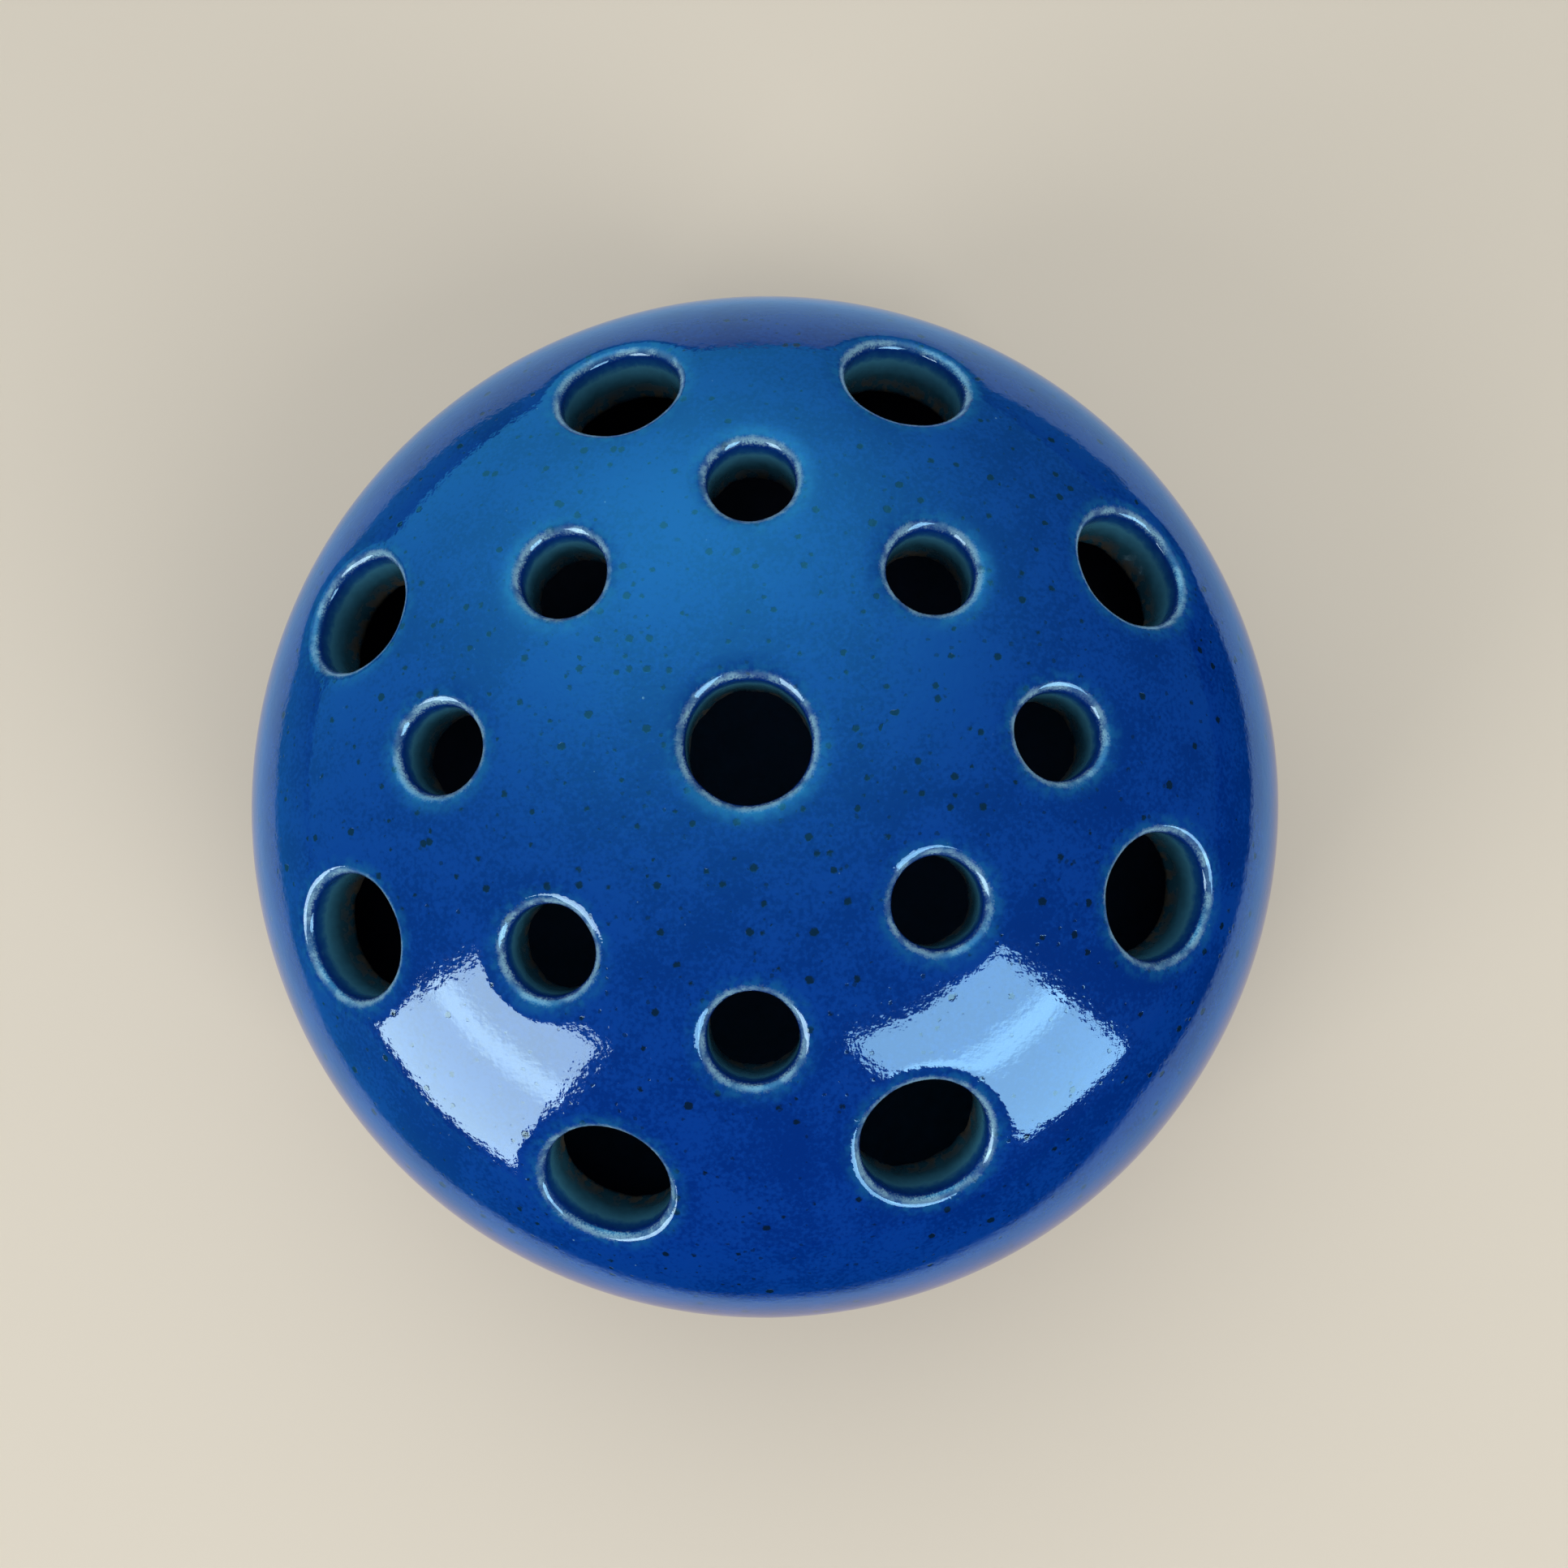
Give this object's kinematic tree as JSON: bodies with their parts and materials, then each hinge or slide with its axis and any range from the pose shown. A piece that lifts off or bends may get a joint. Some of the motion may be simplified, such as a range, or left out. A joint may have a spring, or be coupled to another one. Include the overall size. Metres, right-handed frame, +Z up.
{
  "type": "flower frog",
  "caption": "Rounded ceramic flower frog: a closed pot that holds its own water, glazed cobalt blue, with stem holes through its dome and a bare turned foot ring.",
  "frame": {"origin": "on the pot's axis, at the level of the foot ring's flat underside: the bottom centre of the bounding box", "axes": "+Z up along the pot's axis through the crown hole. +X points at one of the smaller ring's holes, and the picture is taken from above with +X to the right and +Y up the picture."},
  "size_m": [0.135, 0.135, 0.0775],
  "materials": {
    "stoneware": "fired buff-brown clay, bare and matt, fine sand grain and turning rings",
    "cobalt_glaze": "glossy cobalt-blue glass with fine dark iron specks, pale where it breaks over the hole lips",
    "liner_glaze": "the same glaze, thinner and greyer, glossy in the chamber and satin on the hole walls"
  },
  "bodies": {
    "root": {"stoneware_body": "stoneware", "outer_glaze": "cobalt_glaze", "liner_glaze": "liner_glaze"}
  },
  "joints": []
}
